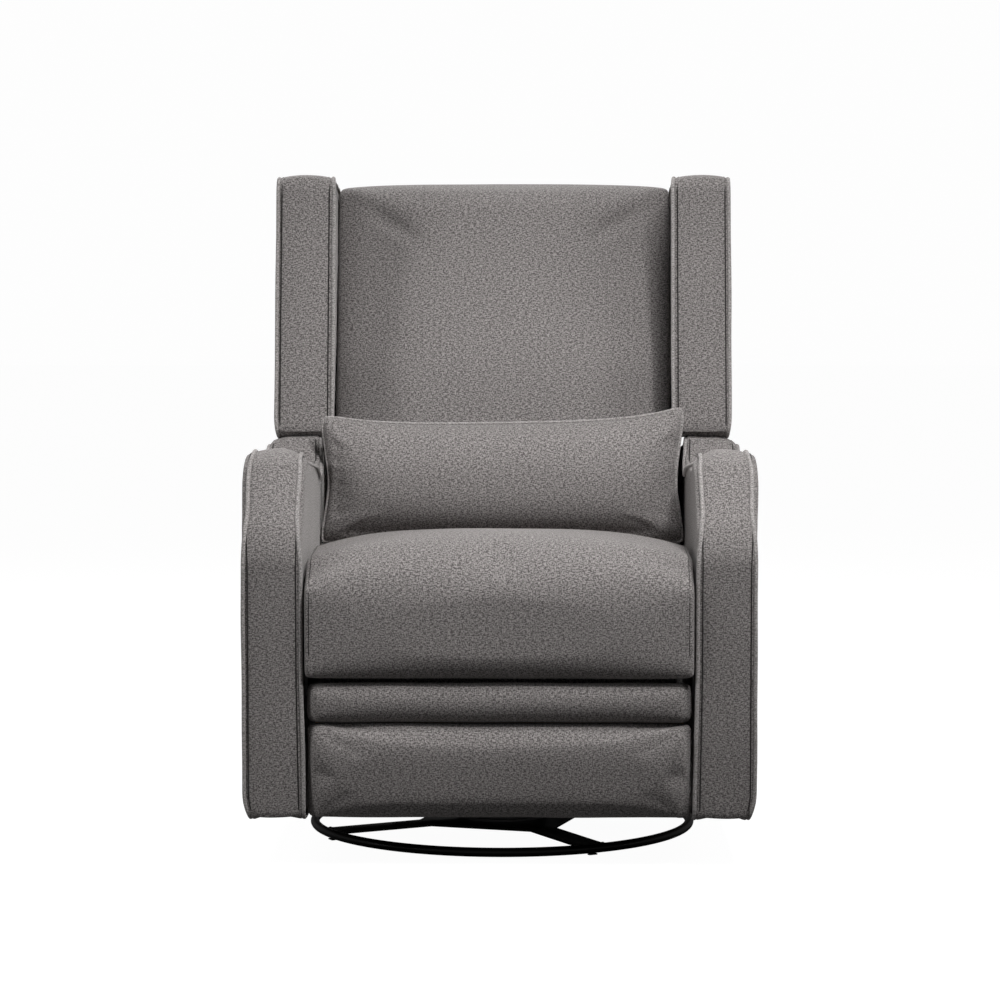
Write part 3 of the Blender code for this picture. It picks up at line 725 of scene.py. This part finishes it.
def makeArms():
    outline = roundedOutline(arm["corners"])
    planes = upright()
    for name, side, seed in (("left", -1, 1), ("right", 1, 2)):
        piece = copyNode("arm_cover_" + name, "arm_" + name)
        low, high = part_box("arm_cover_" + name)
        # the pocket for the plywood core is closed, since the cover hides it
        reach = np.abs(pointsOf(piece)[:, 0])
        selectPoints(piece, (reach > arm["pocket"][0]) & (reach < arm["pocket"][1]))
        bpy.ops.mesh.delete(type="VERT")
        bpy.ops.mesh.select_all(action="SELECT")
        bpy.ops.mesh.fill_holes(sides=0)
        bpy.ops.object.mode_set(mode="OBJECT")
        remeshPiece(piece, arm["voxel"])
        crownSlab(piece, outline, planes, armBand, arm["inner"], arm["outer"], arm["depth"])
        setPoints(piece, rippled(armSides(pointsOf(piece)), *arm["ripple"], seed))
        finishPiece(piece, "carriage", cloth, ["arm_cover_" + name])
        ends = (low.x, high.x) if side > 0 else (high.x, low.x)
        faces = [("inner", ends[0], side), ("outer", ends[1], -side)]
        edgeWelts("arm_" + name, piece, outline, planes, faces, "carriage", armSides)
    print("arms made")


wing = {
    "front": 0.083, "bottom": 0.639, "depth": 0.285, "rise": 0.447, "rearRise": 0.475,
    "voxel": 0.0045, "crown": 0.006, "under": -0.002, "inner": 0.003, "outer": 0.005,
    "lip": (0.060, 0.007),  # the inner face stands proud near the front edge: how deep, how far
    "tuck": (0.035, 0.005),  # the outer face tucks in at the bottom: how high, how far
    "ripple": (0.0012, 0.10),
}


def wingBand(depth, rise, outward, up):
    return (wing["under"] if up < -0.5 else wing["crown"]), 0.0


def wingSides(points):
    low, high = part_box("wing_right")
    flat, _ = leanFrame(wing["front"], wing["bottom"])
    sheet = flat(points)
    middle = (low.x + high.x) / 2
    reach = np.abs(points[:, 0])
    inner = np.clip((middle - reach) / (middle - low.x), 0, 1)
    outer = np.clip((reach - middle) / (high.x - middle), 0, 1)
    lip = np.clip(1 - sheet[:, 0] / wing["lip"][0], 0, 1) ** 1.5
    tuck = np.clip(1 - (points[:, 2] - low.z) / wing["tuck"][0], 0, 1) ** 2
    shaped = points.copy()
    shaped[:, 0] -= np.sign(points[:, 0]) * (inner * wing["lip"][1] * lip + outer * wing["tuck"][1] * tuck)
    return shaped


def makeWings():
    rear = wing["depth"]
    outline = roundedOutline([
        (0, 0, 0.015), (rear, rear * math.tan(lean), 0.025), (rear, wing["rearRise"], 0.045), (0, wing["rise"], 0.025),
    ])
    planes = leanFrame(wing["front"], wing["bottom"])
    for name, side, seed in (("left", -1, 3), ("right", 1, 4)):
        piece = copyNode("wing_" + name, "wing_pad_" + name)
        low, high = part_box("wing_" + name)
        remeshPiece(piece, wing["voxel"])
        crownSlab(piece, outline, planes, wingBand, wing["inner"], wing["outer"])
        setPoints(piece, rippled(wingSides(pointsOf(piece)), *wing["ripple"], seed))
        finishPiece(piece, "back", cloth, ["wing_" + name])
        ends = (low.x, high.x) if side > 0 else (high.x, low.x)
        faces = [("inner", ends[0], side), ("outer", ends[1], -side)]
        edgeWelts("wing_" + name, piece, outline, planes, faces, "back", wingSides)
    print("wings made")


def puff(piece, held, settings):
    # the cover swells under the pressure of its filling, held where it is tacked or sewn down
    start = pointsOf(piece)
    group = piece.vertex_groups.new(name="held")
    group.add([int(index) for index in np.flatnonzero(held)], 1.0, "REPLACE")
    makeActive(piece)
    bpy.ops.object.modifier_add(type="CLOTH")
    modifier = piece.modifiers[-1]
    physics = modifier.settings
    physics.quality = 4
    physics.mass = 0.3
    physics.tension_stiffness = 15
    physics.compression_stiffness = 15
    physics.shear_stiffness = 5
    physics.bending_stiffness = 0.5
    physics.use_pressure = True
    physics.uniform_pressure_force = settings["pressure"]
    physics.effector_weights.gravity = 0
    physics.vertex_group_mass = "held"
    modifier.point_cache.frame_start = 1
    modifier.point_cache.frame_end = 20
    for step in range(1, 21):
        bpy.context.scene.frame_set(step)
    bpy.ops.object.modifier_apply(modifier=modifier.name)
    moves = pointsOf(piece) - start
    length = np.linalg.norm(moves, axis=1)
    moves *= (np.minimum(length, settings["cap"]) / np.maximum(length, 1e-9))[:, None]
    setPoints(piece, start + moves)
    bpy.context.scene.frame_set(1)
    piece.vertex_groups.clear()


def closeTo(points, half):
    # squeezes whatever stands wider than the space between two neighbours
    points[:, 0] = np.clip(points[:, 0], -half, half)
    return points


def sideSeamShades(name, piece, across, center, sweep, body):
    # a near-black tube of painted shade laid along the stitched line where a cushion's end panel joins its top, read
    # off its own surface
    for label, side in (("left", -1), ("right", 1)):
        middle = Vector((side * across, center[0] + swivelY, center[1]))
        path = []
        for step in range(121):
            turn = math.radians(sweep[0] + (sweep[1] - sweep[0]) * step / 120)
            way = Vector((0, math.cos(turn), math.sin(turn)))
            hit, place, _, _ = piece.ray_cast(middle, way)
            if hit:
                path.append(place)
        makeTube(f"{name}_{label}_seam", evened(np.array(path), 3, False), 0.0007, seamShadeLine, body, False, 1)


seat = {
    "voxel": 0.007, "half": 0.2978, "pressure": 3, "cap": 0.008, "crown": 0.005, "dip": 0.024,
    "lip": 0.0045, "ripple": (0.0012, 0.12, 5), "seam_shade": 0.2905,
}


def makeSeat():
    piece = copyNode("seat_cushion", "seat_pad")
    low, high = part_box("seat_cushion")
    remeshPiece(piece, seat["voxel"], 4)
    points = pointsOf(piece)
    share = np.abs(points[:, 0]) / high.x
    rise = np.clip((points[:, 2] - 0.36) / 0.12, 0, 1)
    forward = np.clip((-0.03 - points[:, 1]) / 0.14, 0, 1)
    points[:, 2] += rise * (forward * seat["crown"] * (1 - share ** 2) - seat["dip"] * share ** 4)
    points[:, 2] += seat["lip"] * np.clip((low.z + 0.04 - points[:, 2]) / 0.03, 0, 1)
    points[:, 0] *= seat["half"] / high.x
    setPoints(piece, points)
    tucked = (points[:, 2] < low.z + 0.05) & (points[:, 1] > low.y + 0.04) | (points[:, 1] > -0.06)
    puff(piece, tucked | (np.abs(points[:, 0]) > seat["half"] - 0.010), seat)
    setPoints(piece, closeTo(rippled(pointsOf(piece), *seat["ripple"]), seat["half"]))
    applyModifier(piece, "SUBSURF", levels=1, render_levels=1)
    finishPiece(piece, "carriage", cloth, ["seat_cushion"])
    sideSeamShades("seat", piece, seat["seam_shade"], (-0.25, 0.40), (20, 215), "carriage")
    print("seat made")


back = {
    "voxel": 0.0075, "half": 0.2885, "pressure": 3, "cap": 0.007, "crown": 0.010, "lift": -0.001, "topCrown": 0.0035,
    "roll": (0.86, 0.028), "calm": 12,  # the front falls away towards both sides: from where, how far
    "ripple": (0.0012, 0.13, 6),
}


def makeBack():
    piece = copyNode("back_cushion", "back_pad")
    low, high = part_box("back_cushion")
    remeshPiece(piece, back["voxel"], 4)
    flat, leant = leanFrame(wing["front"], wing["bottom"])
    points = pointsOf(piece)
    sheet = flat(points)
    share = np.abs(points[:, 0]) / high.x
    front = np.clip((0.20 - sheet[:, 0]) / 0.08, 0, 1)
    top = np.clip((sheet[:, 1] - 0.30) / 0.12, 0, 1)
    sheet[:, 0] -= front * back["crown"] * (1 - share ** 2.5)
    sheet[:, 0] += front * back["roll"][1] * np.clip((share - back["roll"][0]) / (1 - back["roll"][0]), 0, 1) ** 1.5
    sheet[:, 1] += top * (back["lift"] + back["topCrown"] * (1 - share ** 2))
    setPoints(piece, leant(points[:, 0] * back["half"] / high.x, sheet))
    puff(piece, (sheet[:, 0] > 0.225) | (share > 0.97), back)
    applyModifier(piece, "SMOOTH", factor=0.5, iterations=back["calm"])
    setPoints(piece, closeTo(rippled(pointsOf(piece), *back["ripple"]), back["half"]))
    applyModifier(piece, "SUBSURF", levels=1, render_levels=1)
    finishPiece(piece, "back", cloth, ["back_cushion"])
    print("back made")


footrest = {
    "voxel": 0.005, "half": 0.2958, "pressure": 3, "cap": 0.005, "ripple": (0.0010, 0.10, 7),
    "endRound": 0.022, "endRun": 0.026, "square": 0.005,
    # how far each roll stands past its panel below and above, leans back below, and stands forward
    "reach": {"lower": (-0.0070, 0.0005), "upper": (-0.0005, 0.0085)},
    "recede": {"lower": 0.012, "upper": 0.004}, "forward": {"lower": 0.004, "upper": -0.003},
    "topRound": {"lower": 0.016, "upper": 0.010},
}


def makeFootrest():
    for name in ("lower", "upper"):
        node = f"footrest_{name}_pad"
        piece = copyNode(node, f"footrest_{name}_cover")
        low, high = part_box(node)
        remeshPiece(piece, footrest["voxel"], 3)
        points = pointsOf(piece)
        # the front rolls back towards both ends and swells between its top and bottom edges
        end = np.clip((np.abs(points[:, 0]) - (high.x - footrest["endRun"])) / footrest["endRun"], 0, 1)
        front = np.clip((high.y - points[:, 1]) / (high.y - low.y), 0, 1)
        tall = np.clip(2 * (points[:, 2] - low.z) / (high.z - low.z) - 1, -1, 1)
        back = footrest["endRound"] * end ** 2.4 + footrest["recede"][name] * (1 - tall) / 2
        back += footrest["topRound"][name] * np.clip(tall, 0, 1) ** 3 + 0.010 * np.clip(-tall, 0, 1) ** 4
        points[:, 1] += front * (back - footrest["forward"][name])
        # the ends stay square where they meet the top and bottom
        points[:, 0] += np.sign(points[:, 0]) * footrest["square"] * end ** 4 * np.abs(tall) ** 6
        setPoints(piece, points)
        puff(piece, (points[:, 1] > high.y - 0.010) | (end > 0.8), footrest)
        points = rippled(pointsOf(piece), *footrest["ripple"])
        # brought to the full width between the arms and up to the neighbouring rolls
        foot, head = points[:, 2].min(), points[:, 2].max()
        down, up = footrest["reach"][name]
        points[:, 2] = np.interp(points[:, 2], (foot, head), (low.z + down, high.z + up))
        points[:, 0] *= footrest["half"] / np.abs(points[:, 0]).max()
        setPoints(piece, points)
        applyModifier(piece, "SUBSURF", levels=1, render_levels=1)
        finishPiece(piece, "footrest", cloth, [node])
    print("footrest made")


pillow = {
    "columns": 120, "rows": 44, "half": 0.3045, "flare": 0.0015, "sideDraw": 0.021, "corner": 0.011,
    "up": 0.0955, "down": 0.0925, "topEar": 0.0255, "bottomEar": 0.012, "tilt": 0.004, "rightEar": 0.15,
    "fullness": 0.060, "lean": 0.15,
    "pressure": 3, "cap": 0.006, "gather": 0.0014, "pitch": 0.023, "welt": 0.0027,
}


def makePillow():
    # two panels sewn together round their edge: laid out square, then given their outline and filling
    low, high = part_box("lumbar_pillow")
    panels = []
    for face in (-1, 1):
        deselectAll()
        bpy.ops.mesh.primitive_grid_add(
            x_subdivisions=pillow["columns"], y_subdivisions=pillow["rows"], size=2, location=(0, 0, 0),
        )
        panel = nameLast("lumbar_cover")
        points = pointsOf(panel)
        inside = (np.abs(points[:, :2]) < 0.9999).all(axis=1)
        setPoints(panel, np.column_stack([points[:, 0], face * 0.01 * inside, points[:, 1]]))
        panels.append(panel)
    piece = panels[0]
    makeActive(piece)
    panels[1].select_set(True)
    bpy.ops.object.join()
    bpy.ops.object.mode_set(mode="EDIT")
    bpy.ops.mesh.select_all(action="SELECT")
    bpy.ops.mesh.remove_doubles(threshold=0.0001)
    bpy.ops.object.mode_set(mode="OBJECT")
    square = pointsOf(piece)
    u, v, face = square[:, 0], square[:, 2], np.sign(square[:, 1])
    # sides drawn in between the corners, so each corner stands out as a soft ear
    corner = np.abs(u) ** 20 * np.abs(v) ** 7 * pillow["corner"] * np.where(v > 0, 1.0, 0.5)
    wide = pillow["half"] + pillow["flare"] * v - pillow["sideDraw"] * (1 - v ** 2) ** 1.6
    ear = np.abs(u) ** 5
    top = pillow["up"] + pillow["topEar"] * (1 + pillow["rightEar"] * u) * ear
    tall = np.where(v > 0, top, pillow["down"] + pillow["bottomEar"] * ear)
    x = u * wide - np.sign(u) * corner
    rise = v * tall - np.sign(v) * corner + pillow["tilt"] * u * (v + 1) / 2
    full = pillow["fullness"] * (1 - u ** 6) ** 0.55 * (1 - np.abs(v) ** 2.4) ** 0.6
    middle = 0.030 + swivelY
    setPoints(piece, np.column_stack([x, middle + pillow["lean"] * rise + face * full, 0.5715 + rise]))
    makeActive(piece)
    bpy.ops.object.mode_set(mode="EDIT")
    bpy.ops.mesh.select_all(action="SELECT")
    bpy.ops.mesh.normals_make_consistent(inside=False)
    bpy.ops.object.mode_set(mode="OBJECT")
    puff(piece, np.zeros(len(square), bool), pillow)
    points = pointsOf(piece)
    # small gathers run in from the piped seam
    fromSide, fromTop = (1 - np.abs(u)) * pillow["half"], (1 - np.abs(v)) * pillow["up"]
    along = np.where(fromSide < fromTop, points[:, 2], points[:, 0])
    wander = np.array([noise.noise(Vector(point) * 14) for point in points])
    wave = np.sin(2 * math.pi * along / pillow["pitch"] + wander * 5) * np.clip(0.5 + wander * 2, 0, 1)
    edge = np.minimum(fromSide, fromTop)
    points[:, 1] += face * pillow["gather"] * wave * np.exp(-edge / 0.022) * np.clip(edge / 0.006, 0, 1)
    setPoints(piece, points)
    rim = np.flatnonzero(face == 0)
    rim = rim[np.argsort(np.arctan2(v[rim], u[rim]))]
    ring = evened(evenly(points[rim], 0.005), 2)
    applyModifier(piece, "SUBSURF", levels=1, render_levels=1)
    finishPiece(piece, "lumbar_pillow", cloth, ["lumbar_pillow"])
    center = ring.mean(axis=0)
    for index, point in enumerate(ring):
        _, place, _, _ = piece.closest_point_on_mesh(Vector(point))
        ring[index] = place + (place - Vector(center)).normalized() * 0.0010
    makeTube("lumbar_welt", ring, pillow["welt"], weltHighlightCloth, "lumbar_pillow")
    print("pillow made")


panels = {
    "voxel": 0.006, "swell": 0.006, "lowerSwell": 0.004, "ripple": (0.0010, 0.14, 8),
    "flapHalf": 0.3010, "weltInset": 0.009,
    "wrap": 0.018,  # how far the rim folds forward over the timber frame's edges
    "topRim": 0.012, "sideRim": 0.2915,  # where that rim starts, from the top and from the middle
}


def makeRearPanels():
    flat, leant = leanFrame(wing["front"], wing["bottom"])
    piece = copyNode("back_outer_panel", "back_outer_cover")
    remeshPiece(piece, panels["voxel"], 3)
    points = pointsOf(piece)
    sheet = flat(points)
    across = np.abs(points[:, 0]) / np.abs(points[:, 0]).max()
    up = 2 * (sheet[:, 1] - sheet[:, 1].min()) / np.ptp(sheet[:, 1]) - 1
    rear = (sheet[:, 0] - sheet[:, 0].min()) / np.ptp(sheet[:, 0])
    sheet[:, 0] += rear * panels["swell"] * (1 - across ** 4) * (1 - up ** 4)
    # below the wings the cover widens to close the slot beside the arms
    below = np.clip((-0.010 - sheet[:, 1]) / 0.030, 0, 1)
    x = points[:, 0] * (1 + below * (panels["flapHalf"] / np.abs(points[:, 0]).max() - 1))
    rim = np.clip((sheet[:, 1] - sheet[:, 1].max() + panels["topRim"]) / 0.003 + 1, 0, 1)
    rim = np.maximum(rim, below * np.clip((np.abs(x) - panels["sideRim"]) / 0.003, 0, 1))
    sheet[:, 0] -= rim * np.clip(1 - rear, 0, 1) * panels["wrap"]
    setPoints(piece, rippled(leant(x, sheet), *panels["ripple"]))
    finishPiece(piece, "back", cloth, ["back_outer_panel"])
    # piping round the rear panel
    inset = panels["weltInset"]
    half, foot, head = np.abs(x).max() - inset, sheet[:, 1].min() + inset, sheet[:, 1].max() - inset
    path = evenly(roundedOutline([(-half, foot, 0.02), (half, foot, 0.02), (half, head, 0.02), (-half, head, 0.02)]), 0.006)
    narrow = np.abs(points[:, 0]).max() - inset
    path[:, 0] = np.where(path[:, 1] > -0.02, np.clip(path[:, 0], -narrow, narrow), path[:, 0])
    depth = np.full(len(path), sheet[:, 0].max())
    ring = leant(path[:, 0], np.column_stack([depth, path[:, 1]]))
    way = leant(np.zeros(2), np.array([[1.0, 0.0], [0.0, 0.0]]))
    ways = np.tile(way[0] - way[1], (len(ring), 1))
    makeTube("rear_panel_welt", evened(onSurface(piece, ring, ways, 0.0012)), 0.0030, weltHighlightCloth, "back")
    piece = copyNode("rear_lower_panel", "rear_lower_cover")
    remeshPiece(piece, panels["voxel"], 3)
    points = pointsOf(piece)
    low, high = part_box("rear_lower_panel")
    across = np.abs(points[:, 0]) / high.x
    up = 2 * (points[:, 2] - low.z) / (high.z - low.z) - 1
    rear = (points[:, 1] - low.y) / (high.y - low.y)
    points[:, 1] += rear * panels["lowerSwell"] * (1 - across ** 4) * (1 - up ** 4)
    setPoints(piece, rippled(points, *panels["ripple"]))
    finishPiece(piece, "carriage", cloth, ["rear_lower_panel"])
    print("rear panels made")


def makePullTape():
    piece = copyNode("release_tab", "pull_tape")
    applyModifier(piece, "BEVEL", width=0.0006, segments=2, limit_method="ANGLE")
    finishPiece(piece, "release_tab", webbing, ["release_tab"], 40)
    print("pull tape made")


def addFloor():
    deselectAll()
    bpy.ops.mesh.primitive_plane_add(size=60, location=(0, 0, -0.0005))
    floor = nameLast("studio_floor")
    material, tree, shader = newMaterial("floorPaper", Roughness=0.9)
    place = addNode(tree, "TexCoord").outputs["Object"]
    tone = blendColour(tree, noiseAt(tree, place, 3.0, 2.0), (0.10, 0.10, 0.10, 1), (0.12, 0.12, 0.12, 1))
    tree.links.new(tone, shader.inputs["Base Color"])
    # backlit paper: the glow keeps it pale to the eye and doesn't light the chair
    ray = addNode(tree, "LightPath")
    shader.inputs["Emission Color"].default_value = (1, 1, 1, 1)
    tree.links.new(maths(tree, "MULTIPLY", ray.outputs["Is Camera Ray"], 0.965), shader.inputs["Emission Strength"])
    floor.data.materials.append(material)
    print("floor laid")


addCamera()
addLamps()
dressNodes()
makeBase()
makeArms()
makeWings()
makeBack()
makeSeat()
makeFootrest()
makePillow()
makeRearPanels()
makePullTape()
addFloor()
